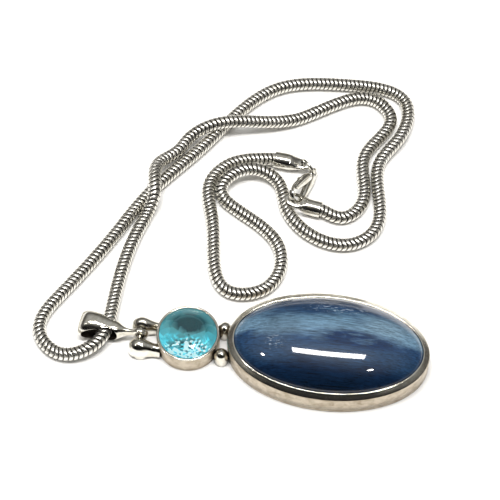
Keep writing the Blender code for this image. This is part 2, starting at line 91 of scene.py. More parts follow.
CHAIN_ROUTE = (
    (0.00069, 0.04596, 0.00175), (-0.00110, 0.04618, 0.00175), (-0.0104, 0.0437, 0.0014),
    (-0.0136, 0.0391, 0.0014),
    (-0.0120, 0.0293, 0.0014), (-0.0058, 0.0122, 0.0014), (0.0009, 0.0139, 0.0014),
    (0.0022, 0.0252, 0.0014), (-0.0110, 0.0379, 0.0020), (-0.0063, 0.0420, 0.0030),
    (0.0010, 0.0402, 0.0015), (0.0031, 0.0345, 0.0014), (0.0181, 0.0269, 0.0014),
    (0.0223, 0.0306, 0.0014), (0.0222, 0.0485, 0.0014), (0.0256, 0.0543, 0.0019),
    (0.0263, 0.0649, 0.0014), (0.0119, 0.0680, 0.0014), (-0.0019, 0.0653, 0.0014),
    (-0.0169, 0.0472, 0.0014), (-0.0266, 0.0340, 0.0014), (-0.0316, 0.0242, 0.0014),
    (-0.0409, 0.0076, 0.0014), (-0.0438, -0.0014, 0.0014), (-0.0389, -0.0061, 0.0014),
    (-0.0313, -0.0030, 0.0026), (-0.0297, 0.0050, 0.0022), (-0.0274, 0.0244, 0.0014),
    (-0.0258, 0.0296, 0.0018), (-0.0249, 0.0331, 0.0038), (-0.0252, 0.0409, 0.0034),
    (-0.0217, 0.0451, 0.0026), (-0.0196, 0.0487, 0.0028), (-0.0164, 0.0512, 0.0038),
    (0.0034, 0.0576, 0.0014), (0.0206, 0.0640, 0.0014), (0.0234, 0.0605, 0.0014),
    (0.0187, 0.0495, 0.0014), (0.0188, 0.0364, 0.0014), (0.0153, 0.0332, 0.0014),
    (0.01125, 0.03420, 0.00175), (0.00950, 0.03452, 0.00175),
)
LINE_POINTS = 3000
BAND_PITCH = 0.00093
# Each row of a band: its place along the band, its share of the radius, and how near-black it is
BAND_ROWS = ((0.0, 0.83, 1.0), (0.09, 0.94, 0.5), (0.22, 0.995, 0.0), (0.74, 1.0, 0.0), (0.90, 0.95, 0.4))
BAND_SLANT = 0.75
SEAM_REACH = 0.97
SEAM_GAP = 0.25
AROUND = 24

CAP_A_MOUTH = (-0.0004, 0.0461, 0.00175)
CAP_A_AIM = (0.992, -0.120, 0)
CAP_B_MOUTH = (0.01056, 0.03433, 0.00175)
CAP_B_AIM = (-0.984, 0.178, 0)
RING_CENTRE = (0.0070, 0.0444, 0.00272)
RING_ACROSS = (0.69, -0.72, 0)
RING_UP = (-0.03, -0.34, 0.94)
RING_RADIUS = 0.0018
RING_IN_CAP = radians(215)
RING_IN_CLASP = radians(-45)
CLASP_AIM = (-0.378, -0.890, 0.245)
CLASP_LEVER_SIDE = (-0.330, 0.360, 0.870)
CLASP_THICKNESS = 0.0016
CLASP_NOSE_THICKNESS = 0.0012
CLASP_SLOT = 0.0008
LEVER_PIVOT = (0.0022, 0.0009)
LEVER_THICKNESS = 0.0007
RIVET_RADIUS = 0.00028

# The camera
CAMERA_PLACE = (0.0212, -0.1843, 0.3418)
CAMERA_TARGET = (-0.0033, 0.0237, 0)
CAMERA_LENS = 136.8

# Small clearances and worn edges
WIRE_HOLE_RADIUS = WIRE_RADIUS + 0.00026
FINE_EDGE = 0.00005
WORN_EDGE = 0.00006
TARNISH = (0.07, 0.06, 0.05)


# Camera, light and floor


def aim(obj, target):
    obj.rotation_euler = (Vector(target) - obj.location).to_track_quat("-Z", "Y").to_euler()


def make_camera():
    data = bpy.data.cameras.new("camera")
    data.lens = CAMERA_LENS
    data.sensor_width = 36
    data.clip_start = 0.01
    camera = bpy.data.objects.new("camera", data)
    bpy.context.scene.collection.objects.link(camera)
    camera.location = CAMERA_PLACE
    aim(camera, CAMERA_TARGET)
    bpy.context.scene.camera = camera


def soft_light(name, location, target, size, power, colour=(1, 1, 1)):
    data = bpy.data.lights.new(name, "AREA")
    data.shape = "RECTANGLE"
    data.size, data.size_y = size
    data.energy = power
    data.color = colour
    light = bpy.data.objects.new(name, data)
    bpy.context.scene.collection.objects.link(light)
    light.location = location
    aim(light, target)
    return light


def make_lights():
    """A long lamp overhead, two small ones, a soft fill that metal doesn't mirror, and a grey room."""
    soft_light("long_lamp", (0.015, -0.012, 0.60), (0.015, -0.012, 0), (0.38, 0.085), 2.5, (1.0, 0.99, 0.97))
    soft_light("left_lamp", (-0.51, -0.20, 0.60), (0, 0, 0), (0.05, 0.035), 0.5, (1.0, 0.97, 0.93))
    soft_light("right_lamp", (0.31, -0.29, 0.60), (0, 0, 0), (0.05, 0.025), 0.35, (1.0, 0.97, 0.93))
    fill = soft_light("fill", (-0.05, 0.15, 0.80), (0, 0.02, 0), (0.7, 0.7), 4.6, (1.0, 0.99, 0.97))
    fill.visible_glossy = False
    world = bpy.data.worlds.new("studio")
    world.use_nodes = True
    bpy.context.scene.world = world
    tree = world.node_tree
    place = tree.nodes.new("ShaderNodeTexCoord")
    split = tree.nodes.new("ShaderNodeSeparateXYZ")
    tree.links.new(place.outputs["Generated"], split.inputs[0])
    height = colours(tree, split.outputs["Z"], (
        (0.0, (0.40, 0.38, 0.35)), (0.08, (0.10, 0.095, 0.09)), (0.40, (0.12, 0.115, 0.11)),
        (0.62, (0.26, 0.26, 0.25)), (0.80, (0.44, 0.44, 0.43)), (1.0, (0.36, 0.36, 0.35)),
    ))
    behind_camera = span(tree, split.outputs["Y"], -0.58, -0.12, 0.06, 1.0)
    shade = tree.nodes.new("ShaderNodeVectorMath")
    shade.operation = "SCALE"
    tree.links.new(height, shade.inputs[0])
    tree.links.new(behind_camera, shade.inputs["Scale"])
    background = tree.nodes["Background"]
    tree.links.new(shade.outputs[0], background.inputs["Color"])


def make_floor():
    bm = bmesh.new()
    bmesh.ops.create_grid(bm, x_segments=2, y_segments=2, size=1.2)
    mesh = bpy.data.meshes.new("table_top")
    bm.to_mesh(mesh)
    bm.free()
    floor = bpy.data.objects.new("table_top", mesh)
    bpy.context.scene.collection.objects.link(floor)
    material, tree, shader = new_material("white table")
    shader.inputs["Roughness"].default_value = 0.75
    grain = noise(tree, mm(tree), 0.05, 3)
    ramp = colours(tree, grain, ((0.3, (0.93, 0.925, 0.915)), (0.7, (0.96, 0.955, 0.95))))
    tree.links.new(ramp, shader.inputs["Base Color"])
    mesh.materials.append(material)


# Materials. Patterns are in millimetres in each piece's own space.


def new_material(name):
    material = bpy.data.materials.new(name)
    material.use_nodes = True
    tree = material.node_tree
    return material, tree, tree.nodes["Principled BSDF"]


def mm(tree, stretch=(1, 1, 1), turn=0.0):
    place = tree.nodes.new("ShaderNodeTexCoord")
    mapping = tree.nodes.new("ShaderNodeMapping")
    mapping.inputs["Scale"].default_value = [1000 * s for s in stretch]
    mapping.inputs["Rotation"].default_value = (0, 0, turn)
    tree.links.new(place.outputs["Object"], mapping.inputs["Vector"])
    return mapping.outputs["Vector"]


def noise(tree, vector, scale, detail=4.0, distortion=0.0, roughness=0.5):
    texture = tree.nodes.new("ShaderNodeTexNoise")
    texture.inputs["Scale"].default_value = scale
    texture.inputs["Detail"].default_value = detail
    texture.inputs["Distortion"].default_value = distortion
    texture.inputs["Roughness"].default_value = roughness
    tree.links.new(vector, texture.inputs["Vector"])
    return texture.outputs["Fac"]


def colours(tree, value, stops):
    ramp = tree.nodes.new("ShaderNodeValToRGB")
    tree.links.new(value, ramp.inputs[0])
    elements = ramp.color_ramp.elements
    while len(elements) < len(stops):
        elements.new(0.5)
    for element, (position, colour) in zip(elements, stops):
        element.position = position
        element.color = (*colour, 1)
    return ramp.outputs["Color"]


def span(tree, value, low, high, to_low, to_high):
    node = tree.nodes.new("ShaderNodeMapRange")
    tree.links.new(value, node.inputs["Value"])
    for name, number in zip(("From Min", "From Max", "To Min", "To Max"), (low, high, to_low, to_high)):
        node.inputs[name].default_value = number
    return node.outputs["Result"]


def blend_colours(tree, factor, first, second):
    mix = tree.nodes.new("ShaderNodeMix")
    mix.data_type = "RGBA"
    tree.links.new(factor, mix.inputs["Factor"])
    for socket, colour in ((mix.inputs[6], first), (mix.inputs[7], second)):
        if isinstance(colour, tuple):
            socket.default_value = (*colour, 1)
        else:
            tree.links.new(colour, socket)
    return mix.outputs[2]


def bump(tree, shader, height, strength, distance):
    node = tree.nodes.new("ShaderNodeBump")
    node.inputs["Strength"].default_value = strength
    node.inputs["Distance"].default_value = distance
    tree.links.new(height, node.inputs["Height"])
    tree.links.new(node.outputs["Normal"], shader.inputs["Normal"])


def make_silver(name, light, dark, roughness, spots, bump_depth):
    """Worn sterling silver: mottled polish, hairline wear, and brown-grey tarnish in its hollows."""
    material, tree, shader = new_material(name)
    shader.inputs["Metallic"].default_value = 1.0
    vector = mm(tree)
    patches = noise(tree, vector, 0.55, 5, 0.4, 0.6)
    fine = noise(tree, vector, 5.0, 4, 0.2, 0.6)
    colour = colours(tree, patches, ((0.32, dark), (0.62, light)))
    hollow = tree.nodes.new("ShaderNodeAmbientOcclusion")
    hollow.samples = 6
    hollow.inputs["Distance"].default_value = 0.0016
    depth = span(tree, hollow.outputs["AO"], 0.12, 0.62, spots, 0.0)
    colour = blend_colours(tree, depth, colour, TARNISH)
    tree.links.new(colour, shader.inputs["Base Color"])
    tree.links.new(span(tree, patches, 0.3, 0.7, roughness[1], roughness[0]), shader.inputs["Roughness"])
    bump(tree, shader, fine, 0.5, bump_depth)
    return material


def make_chain_silver():
    """Bright rubbed bands between near-black gaps."""
    material, tree, shader = new_material("rubbed chain silver")
    shader.inputs["Metallic"].default_value = 1.0
    gap = tree.nodes.new("ShaderNodeAttribute")
    gap.attribute_name = "gap"
    vector = mm(tree)
    patches = noise(tree, vector, 0.35, 4, 0.5, 0.6)
    band = colours(tree, patches, ((0.3, (0.78, 0.75, 0.67)), (0.65, (0.93, 0.91, 0.85))))
    share = span(tree, gap.outputs["Fac"], 0.10, 0.52, 0.0, 1.0)
    colour = blend_colours(tree, share, band, (0.035, 0.031, 0.028))
    tree.links.new(colour, shader.inputs["Base Color"])
    tree.links.new(span(tree, gap.outputs["Fac"], 0.0, 1.0, 0.30, 0.55), shader.inputs["Roughness"])
    bump(tree, shader, noise(tree, vector, 7.0, 3), 0.4, 0.00002)
    return material


def make_topaz():
    """Clear blue glass-like stone; its table and crown facets are each painted a different brightness, up to
    near white, as painted reflections.
    """
    material, tree, shader = new_material("blue topaz")
    spark = tree.nodes.new("ShaderNodeAttribute")
    spark.attribute_name = "spark"
    drift = span(tree, noise(tree, mm(tree), 0.4, 2), 0.3, 0.7, -0.1, 0.1)
    # Painted reflections: the per-facet spark value, plus a little random drift, sets how light each facet
    # is painted.
    facet_reflection = maths(tree, spark.outputs["Fac"], drift, "ADD")
    colour = colours(tree, facet_reflection, (
        (0.0, (0.42, 0.62, 0.65)), (0.5, (0.34, 0.76, 0.84)), (1.0, (0.80, 0.97, 1.0)),
    ))
    tree.links.new(colour, shader.inputs["Base Color"])
    shader.inputs["Roughness"].default_value = 0.01
    shader.inputs["IOR"].default_value = 1.62
    shader.inputs["Transmission Weight"].default_value = 1.0
    return material


def make_pavilion():
    """The stone's underside: painted, faintly glowing shards in place of real inner reflections."""
    material, tree, shader = new_material("topaz underside")
    spark = tree.nodes.new("ShaderNodeAttribute")
    spark.attribute_name = "spark"
    vector = mm(tree)
    shards = tree.nodes.new("ShaderNodeTexVoronoi")
    shards.feature = "F1"
    shards.inputs["Scale"].default_value = 1.9
    tree.links.new(vector, shards.inputs["Vector"])
    glint = tree.nodes.new("ShaderNodeSeparateColor")
    tree.links.new(shards.outputs["Color"], glint.inputs["Color"])
    nearer = patch(tree, vector, (0.3, -3.0, 2.5), (7.0, 4.8, 9.0))
    flicker = span(tree, glint.outputs["Red"], 0.2, 0.8, -0.42, 0.55)
    broken = maths(tree, span(tree, nearer, 0.0, 0.42, 0.0, 1.0), flicker)
    light = maths(tree, spark.outputs["Fac"], broken, "ADD")
    shaded = patch(tree, vector, (0.0, 2.2, 2.5), (5.4, 3.4, 8.0))
    light = maths(tree, light, span(tree, shaded, 0.0, 0.8, 0.0, -0.34), "ADD")
    colour = colours(tree, light, (
        (0.04, (0.012, 0.050, 0.060)), (0.18, (0.120, 0.300, 0.320)), (0.45, (0.130, 0.520, 0.600)),
        (0.62, (0.22, 0.84, 0.95)), (0.74, (1.0, 1.0, 1.0)),
    ))
    tree.links.new(colour, shader.inputs["Base Color"])
    tree.links.new(colour, shader.inputs["Emission Color"])
    shader.inputs["Emission Strength"].default_value = 0.55
    shader.inputs["Roughness"].default_value = 0.25
    return material


def patch(tree, vector, centre, radii):
    """1 in the middle of an ellipsoid and 0 outside it, in millimetres."""
    mapping = tree.nodes.new("ShaderNodeMapping")
    mapping.vector_type = "TEXTURE"
    mapping.inputs["Location"].default_value = centre
    mapping.inputs["Scale"].default_value = radii
    tree.links.new(vector, mapping.inputs["Vector"])
    sphere = tree.nodes.new("ShaderNodeTexGradient")
    sphere.gradient_type = "QUADRATIC_SPHERE"
    tree.links.new(mapping.outputs["Vector"], sphere.inputs["Vector"])
    return sphere.outputs["Fac"]


def maths(tree, first, second, operation="MULTIPLY"):
    """One sum on two values, each a number or another node's output."""
    node = tree.nodes.new("ShaderNodeMath")
    node.operation = operation
    for socket, value in zip(node.inputs, (first, second)):
        if isinstance(value, (int, float)):
            socket.default_value = value
        else:
            tree.links.new(value, socket)
    return node.outputs[0]


def make_kyanite():
    """Deep blue with silky fibres along its length and darker streaks, with a pale band of painted sheen and
    pale painted glints.
    """
    material, tree, shader = new_material("blue kyanite")
    plain = mm(tree)
    waves = noise(tree, mm(tree, (0.09, 0.30, 0.2), radians(-4)), 1.0, 5, 0.6, 0.55)
    fibres = noise(tree, mm(tree, (0.30, 4.2, 2.0), radians(3)), 1.0, 8, 0.5, 0.75)
    streaks = noise(tree, mm(tree, (0.16, 0.8, 0.4), radians(2)), 1.0, 5, 1.0, 0.6)
    split = tree.nodes.new("ShaderNodeSeparateXYZ")
    tree.links.new(plain, split.inputs[0])
    # Colour across the stone: deep blue, darker towards both long edges, with a pale band of painted sheen a
    # little to the +y side of the middle.
    across = maths(tree, split.outputs["Y"], span(tree, waves, 0.25, 0.75, -1.9, 1.9), "ADD")
    colour = colours(tree, span(tree, across, -12.0, 12.0, 0.0, 1.0), (
        (0.05, (0.001, 0.006, 0.017)), (0.22, (0.003, 0.013, 0.038)), (0.34, (0.010, 0.034, 0.080)),
        (0.44, (0.011, 0.036, 0.090)), (0.53, (0.100, 0.180, 0.260)), (0.63, (0.075, 0.145, 0.215)),
        (0.73, (0.010, 0.033, 0.080)), (0.95, (0.004, 0.014, 0.038)),
    ))
    dark = patch(tree, plain, (21.0, -0.6, 9.5), (13.0, 3.0, 6.0))
    dark = maths(tree, span(tree, dark, 0.02, 0.28, 0.0, 1.0), span(tree, streaks, 0.36, 0.50, 0.25, 1.0))
    colour = blend_colours(tree, dark, colour, (0.002, 0.017, 0.060))
    # Painted sheen: the pale band is painted lighter at its right end and a dimmer grey-blue at its left
    # end.
    right = span(tree, patch(tree, plain, (26.5, 3.2, 8.5), (10.0, 4.2, 6.0)), 0.0, 0.5, 0.0, 0.75)
    colour = blend_colours(tree, right, colour, (0.130, 0.205, 0.270))
    left = span(tree, patch(tree, plain, (5.5, 1.2, 8.5), (8.0, 6.0, 6.0)), 0.0, 0.5, 0.0, 0.6)
    colour = blend_colours(tree, left, colour, (0.048, 0.085, 0.125))
    silk = tree.nodes.new("ShaderNodeHueSaturation")
    tree.links.new(colour, silk.inputs["Color"])
    tree.links.new(span(tree, fibres, 0.36, 0.64, 0.40, 1.75), silk.inputs["Value"])
    # Painted glints: pale specks from the sparks noise, kept inside two patches, one on the +y side of the
    # middle and one towards the left end.
    sparks = span(tree, noise(tree, mm(tree, (0.8, 2.4, 2.0)), 1.2, 5, 0.3, 0.7), 0.54, 0.64, 0.0, 1.0)
    upper_glints = span(tree, patch(tree, plain, (16.5, 6.3, 8.0), (11.0, 2.4, 5.0)), 0.05, 0.5, 0.0, 0.85)
    glint = span(tree, patch(tree, plain, (4.7, -2.6, 9.0), (3.2, 2.6, 4.0)), 0.05, 0.5, 0.0, 0.9)
    colour = blend_colours(
        tree, maths(tree, sparks, maths(tree, upper_glints, glint, "MAXIMUM")), silk.outputs["Color"],
        (0.46, 0.56, 0.68),
    )
    tree.links.new(colour, shader.inputs["Base Color"])
    tree.links.new(span(tree, fibres, 0.3, 0.7, 0.42, 0.28), shader.inputs["Roughness"])
    shader.inputs["IOR"].default_value = 1.45
    shader.inputs["Specular IOR Level"].default_value = 0.15
    shader.inputs["Coat Weight"].default_value = 1.0
    shader.inputs["Coat Roughness"].default_value = 0.03
    shader.inputs["Coat IOR"].default_value = 1.6
    return material


# Mesh helpers


def add_object(bm, name, material, matrix=None, sharp_angle=35):
    bmesh.ops.recalc_face_normals(bm, faces=bm.faces)
    mesh = bpy.data.meshes.new(name)
    bm.to_mesh(mesh)
    bm.free()
    mesh.shade_smooth()
    mesh.set_sharp_from_angle(angle=radians(sharp_angle))
    if material:
        mesh.materials.append(material)
    obj = bpy.data.objects.new(name, mesh)
    bpy.context.scene.collection.objects.link(obj)
    if matrix:
        obj.matrix_world = matrix
    return obj


def boolean(obj, bm, operation, matrix=None):
    """Joins or cuts with a form that isn't kept, and applies it straight away."""
    other = add_object(bm, "form", None, matrix)
    modifier = obj.modifiers.new("form", "BOOLEAN")
    modifier.object = other
    modifier.operation = operation
    modifier.solver = "EXACT"
    apply_modifiers(obj)
    bpy.data.objects.remove(other, do_unlink=True)


def apply_modifiers(obj):
    bpy.context.view_layer.update()
    graph = bpy.context.evaluated_depsgraph_get()
    mesh = bpy.data.meshes.new_from_object(obj.evaluated_get(graph))
    obj.modifiers.clear()
    obj.data = mesh


def soften(obj, width, angle=38):
    """Rounds the sharp edges a little, as wear and polishing do."""
    modifier = obj.modifiers.new("worn edges", "BEVEL")
    modifier.width = width
    modifier.segments = 2
    modifier.limit_method = "ANGLE"
    modifier.angle_limit = radians(angle)
    apply_modifiers(obj)
    obj.data.shade_smooth()
    obj.data.set_sharp_from_angle(angle=radians(50))


def lofted(sections, ring=False):
    bm = bmesh.new()
    rows = [[bm.verts.new(point) for point in section] for section in sections]
    pairs = list(zip(rows, rows[1:]))
    if ring:
        pairs.append((rows[-1], rows[0]))
    for low, high in pairs:
        for i in range(len(low)):
            j = (i + 1) % len(low)
            bm.faces.new((low[i], low[j], high[j], high[i]))
    if not ring:
        bm.faces.new(reversed(rows[0]))
        bm.faces.new(rows[-1])
    return bm


def finer(rows, steps):
    """More rows between the given ones, on a smooth curve through them."""
    rows = [np.array(row, float) for row in rows]
    out = []
    for i in range(len(rows) - 1):
        before, start, end = rows[max(i - 1, 0)], rows[i], rows[i + 1]
        after = rows[min(i + 2, len(rows) - 1)]
        for step in range(steps):
            t = step / steps
            lean_in, lean_out = (end - before) / 2, (after - start) / 2
            point = (2 * t**3 - 3 * t**2 + 1) * start + (t**3 - 2 * t**2 + t) * lean_in
            out.append(tuple(point + (3 * t**2 - 2 * t**3) * end + (t**3 - t**2) * lean_out))
    return [*out, tuple(rows[-1])]


def ellipse(half_x, half_y, z, count, centre=(0, 0), wave=0.0):
    points = []
    for i in range(count):
        angle = 2 * pi * i / count
        wander = wave * (sin(5 * angle + 1) + 0.6 * sin(11 * angle + 2) + 0.4 * sin(23 * angle))
        points.append((
            centre[0] + (half_x + wander) * cos(angle), centre[1] + (half_y + wander) * sin(angle), z,
        ))
    return points


def stacked(profile, half_x, half_y, count, centre=(0, 0), ring=False):
    """Ellipses stacked along Z: each profile entry is (outward offset, z) and, if wavy, a wave."""
    sections = []
    for off, z, *wave in profile:
        sections.append(ellipse(half_x + off, half_y + off, z, count, centre, *wave))
    return lofted(sections, ring)


def cylinder(radius, length, count=48, bevel=0.0):
    half = length / 2
    profile = [(0, -half), (0, half)]
    if bevel:
        profile = [(-bevel, -half), (0, bevel - half), (0, half - bevel), (-bevel, half)]
    return stacked(profile, radius, radius, count)


def frame_matrix(origin, x_axis, y_axis):
    x = Vector(x_axis).normalized()
    z = x.cross(Vector(y_axis)).normalized()
    y = z.cross(x)
    return Matrix.LocRotScale(Vector(origin), Matrix((x, y, z)).transposed(), None)


def along_y(origin):
    return Matrix.Translation(origin) @ Matrix.Rotation(-pi / 2, 4, "X")


def place_piece(obj, body, slot, *nodes):
    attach(obj, body)
    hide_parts(*nodes)
    return obj


# Chain


def smooth_route(points, count):
    """Evenly spaced points on the natural cubic spline through the route's own points."""
    points = np.array(points)
    steps = np.linalg.norm(np.diff(points, axis=0), axis=1)
    knots = np.concatenate([[0], np.cumsum(steps)])
    last = len(points) - 1
    system = np.eye(last + 1)
    right = np.zeros_like(points)
    for i in range(1, last):
        system[i, i - 1 : i + 2] = steps[i - 1], 2 * (steps[i - 1] + steps[i]), steps[i]
        slopes = (points[i + 1] - points[i]) / steps[i] - (points[i] - points[i - 1]) / steps[i - 1]
        right[i] = 6 * slopes
    bends = np.linalg.solve(system, right)
    places = np.linspace(0, knots[-1], 6000)
    index = np.clip(np.searchsorted(knots, places, side="right") - 1, 0, last - 1)
    step = steps[index][:, None]
    ahead = (knots[index + 1] - places)[:, None]
    behind = (places - knots[index])[:, None]
    dense = (bends[index] * ahead**3 + bends[index + 1] * behind**3) / (6 * step)
    dense += (points[index] / step - bends[index] * step / 6) * ahead
    dense += (points[index + 1] / step - bends[index + 1] * step / 6) * behind
    dense[:, 2] = np.maximum(dense[:, 2], CHAIN_RADIUS)
    return even_points(dense, count)


def even_points(dense, count):
    run = np.concatenate([[0], np.cumsum(np.linalg.norm(np.diff(dense, axis=0), axis=1))])
    even = np.linspace(0, run[-1], count)
    return np.stack([np.interp(even, run, dense[:, axis]) for axis in range(3)], axis=1)


def make_chain(material):
    """A round snake chain: interlocking zig-zag bands, each crowned, with dark gaps between."""
    bent = smooth_route(CHAIN_ROUTE[1:-1], LINE_POINTS)
    line = np.vstack([CHAIN_ROUTE[0], bent, CHAIN_ROUTE[-1]])
    line = even_points(line, LINE_POINTS)
    length = float(np.linalg.norm(np.diff(line, axis=0), axis=1).sum())
    bands = round(length / BAND_PITCH)
    tangents = np.gradient(line, axis=0)
    tangents /= np.linalg.norm(tangents, axis=1)[:, None]
    side = np.array([0.0, 0.0, 1.0])
    sides = []
    for tangent in tangents:
        side = side - tangent * side.dot(tangent)
        side /= np.linalg.norm(side)
        sides.append(side)
    sides = np.array(sides)
    others = np.cross(tangents, sides)
    run = np.linspace(0, length, len(line))

    def at(values, place):
        return np.array([np.interp(place, run, values[:, axis]) for axis in range(3)])

    sections, gaps = [], []
    for band in range(bands):
        for share, reach, gap in BAND_ROWS:
            section = []
            for j in range(AROUND):
                turn = 2 * pi * j / AROUND
                half_turn = (j + AROUND // 8) % (AROUND // 2) / (AROUND // 2)
                slant = abs(2 * half_turn - 1) - 0.5
                place = min(max((band + share - BAND_SLANT * slant) * length / bands, 0), length)
                seam = SEAM_REACH if (j + AROUND // 8) % (AROUND // 4) == 0 else 1.0
                out = at(sides, place) * cos(turn) + at(others, place) * sin(turn)
                section.append(Vector(at(line, place) + out * CHAIN_RADIUS * reach * seam))
                gaps.append(max(gap, SEAM_GAP if seam < 1 else 0.0))
            sections.append(section)
    bm = lofted(sections)
    chain = add_object(bm, "snake_chain_bands", material, sharp_angle=60)
    attribute = chain.data.attributes.new("gap", "FLOAT", "POINT")
    attribute.data.foreach_set("value", gaps)
    place_piece(chain, "chain", "chain_silver", "snake_chain")
    return chain, line, length


# Round setting


def make_round_setting(silver, satin, stone):
    centre = (ROUND_X, 0)
    inside = -ROUND_WALL
    top = ROUND_RIM_Z
    profile = [
        (inside, ROUND_FOOT), (-0.00006, ROUND_FOOT), (0, ROUND_FOOT + 0.00006), (0, 0.0022),
        (0.00001, top - 0.0004), (-0.00002, top - 0.00018), (-0.00008, top - 0.00006, 0.00001),
        (-0.00018, top, 0.000012), (-0.00036, top + 0.00001, 0.000015),
        (-0.00050, top - 0.00005, 0.00002), (-0.00056, top - 0.00014, 0.00002),
        (-0.00050, top - 0.0003), (inside, top - 0.0005),
    ]
    bezel = stacked(profile, ROUND_RADIUS, ROUND_RADIUS, 144, centre, ring=True)
    bezel = add_object(bezel, "round_bezel_strip", satin)
    paint_rim(bezel, silver, top - 0.0002)
    place_piece(bezel, "pendant", "polished_silver", "round_bezel")
    gem = add_object(cut_gem(), "topaz_brilliant", stone, Matrix.Translation((ROUND_X, 0, 0)), 2)
    gem.data.materials.append(make_pavilion())
    # Painted light per facet: underside faces are painted lighter towards the near, -y side, and the crown
    # facets get painted reflections of random brightness.
    spark = gem.data.attributes.new("spark", "FLOAT", "FACE")
    for i, face in enumerate(gem.data.polygons):
        scatter = 0.5 + 0.5 * sin(12.9 * i + 1)
        if face.normal.z < -0.2:
            face.material_index = 1
            nearer = min(max(0.45 - face.center.y / 0.005, 0), 1)
            spark.data[i].value = 0.15 + 0.30 * nearer + 0.25 * nearer * scatter
        elif face.normal.z < 0.99:
            spark.data[i].value = 0.25 + 0.75 * scatter
    place_piece(gem, "pendant", "topaz", "round_topaz")


def paint_rim(bezel, silver, height):
    """The turned-in lip is polished, and the wall below it stays satin."""
    bezel.data.materials.append(silver)
    for face in bezel.data.polygons:
        if face.center.z > height:
            face.material_index = 1


def cut_gem():
    """A round brilliant, ground facet by facet out of a disc."""
    bm = cylinder(TOPAZ_RADIUS, 0.02, 64)
    tall = TOPAZ_TABLE_Z - TOPAZ_GIRDLE_Z
    crown = np.arctan2(tall, 0.43 * TOPAZ_RADIUS)
    facets = [((0, 0, TOPAZ_TABLE_Z), (0, 0, 1))]
    for i in range(8):
        for turn, angle, reach, z, up in (
            (0.0, crown, 1.0, TOPAZ_GIRDLE_Z + 0.00008, 1),
            (0.5, 0.56 * crown, 0.585, TOPAZ_TABLE_Z, 1),
            (0.25, 1.17 * crown, 1.0, TOPAZ_GIRDLE_Z + 0.00014, 1),
            (-0.25, 1.17 * crown, 1.0, TOPAZ_GIRDLE_Z + 0.00014, 1),
            (0.25, radians(34), 1.0, TOPAZ_GIRDLE_Z - 0.00008, -1),
            (-0.25, radians(34), 1.0, TOPAZ_GIRDLE_Z - 0.00008, -1),
            (0.0, radians(30), 0.86, TOPAZ_GIRDLE_Z - 0.00065, -1),
            (0.5, radians(30), 0.86, TOPAZ_GIRDLE_Z - 0.00065, -1),
            (0.25, radians(26), 0.66, TOPAZ_GIRDLE_Z - 0.00134, -1),
            (-0.25, radians(26), 0.66, TOPAZ_GIRDLE_Z - 0.00134, -1),
            (0.0, radians(19), 0.42, TOPAZ_GIRDLE_Z - 0.00204, -1),
        ):
            azimuth = 2 * pi * (i + turn) / 8
            out = (cos(azimuth), sin(azimuth))
            point = (reach * TOPAZ_RADIUS * out[0], reach * TOPAZ_RADIUS * out[1], z)
            facets.append((point, (sin(angle) * out[0], sin(angle) * out[1], up * cos(angle))))
    for point, normal in facets:
        geometry = bm.verts[:] + bm.edges[:] + bm.faces[:]
        bmesh.ops.bisect_plane(bm, geom=geometry, plane_co=point, plane_no=normal, clear_outer=True)
        rim = [edge for edge in bm.edges if edge.is_boundary]
        if rim:
            bmesh.ops.holes_fill(bm, edges=rim)
    bmesh.ops.remove_doubles(bm, verts=bm.verts, dist=1e-6)
    return bm


# Oval setting


def make_oval_setting(silver, satin, stone):
    sizes = (OVAL_HALF_LENGTH, OVAL_HALF_WIDTH, 256, (OVAL_X, 0))
    top = OVAL_LIP_Z
    profile = [
        (-OVAL_WALL, OVAL_FOOT), (-0.00007, OVAL_FOOT), (0, OVAL_FOOT + 0.00007), (0, 0.0024),
        (0.00001, OVAL_WALL_Z - 0.0006), (0, OVAL_WALL_Z), (-0.00004, OVAL_WALL_Z + 0.00010),
        (-0.00015, OVAL_WALL_Z + 0.00020), (-0.0006, top - 0.00040),
        (-0.00098, top - 0.00014, 0.00001), (-0.00114, top - 0.00003, 0.00002),
        (-OVAL_LIP_INSET, top, 0.00003), (-OVAL_LIP_INSET - 0.00012, top - 0.00008, 0.00003),
        (-OVAL_LIP_INSET - 0.00008, top - 0.00025, 0.00002), (-0.0009, OVAL_WALL_Z),
        (-OVAL_WALL, OVAL_WALL_Z - 0.0006),
    ]
    bezel = add_object(stacked(profile, *sizes, ring=True), "oval_bezel_strip", satin, sharp_angle=60)
    paint_rim(bezel, silver, OVAL_WALL_Z + 0.0001)
    place_piece(bezel, "pendant", "polished_silver", "oval_bezel")
    outline = [
        (-0.0008, OVAL_FOOT), (-OVAL_WALL - CLEARANCE, OVAL_FOOT + 0.0003), (-0.00056, 0.0039),
        (-0.00098, OVAL_WALL_Z), (-0.00142, top - 0.0003),
    ]
    sections = [
        ellipse(OVAL_HALF_LENGTH + off, OVAL_HALF_WIDTH + off, z, 192, (OVAL_X, 0)) for off, z in outline
    ]
    off, shoulder_z = outline[-1]
    for i in range(1, 40):
        share = cos(pi / 2 * i / 40) ** 0.8
        rise = (1 - share**2.3) ** 0.72
        z = shoulder_z + (CABOCHON_TOP_Z - shoulder_z) * rise
        half = ((OVAL_HALF_LENGTH + off) * share, (OVAL_HALF_WIDTH + off) * share)
        sections.append(ellipse(*half, z, 192, (OVAL_X, 0)))
    dome = add_object(lofted(sections), "kyanite_dome", stone, sharp_angle=50)
    place_piece(dome, "pendant", "kyanite", "oval_kyanite_cabochon")


# Posts, lugs and bail


def grown_bezels():
    grown = [(CLEARANCE, -0.001), (CLEARANCE, 0.008)]
    return (
        stacked(grown, ROUND_RADIUS, ROUND_RADIUS, 144, (ROUND_X, 0)),
        stacked(grown, OVAL_HALF_LENGTH, OVAL_HALF_WIDTH, 256, (OVAL_X, 0)),
    )


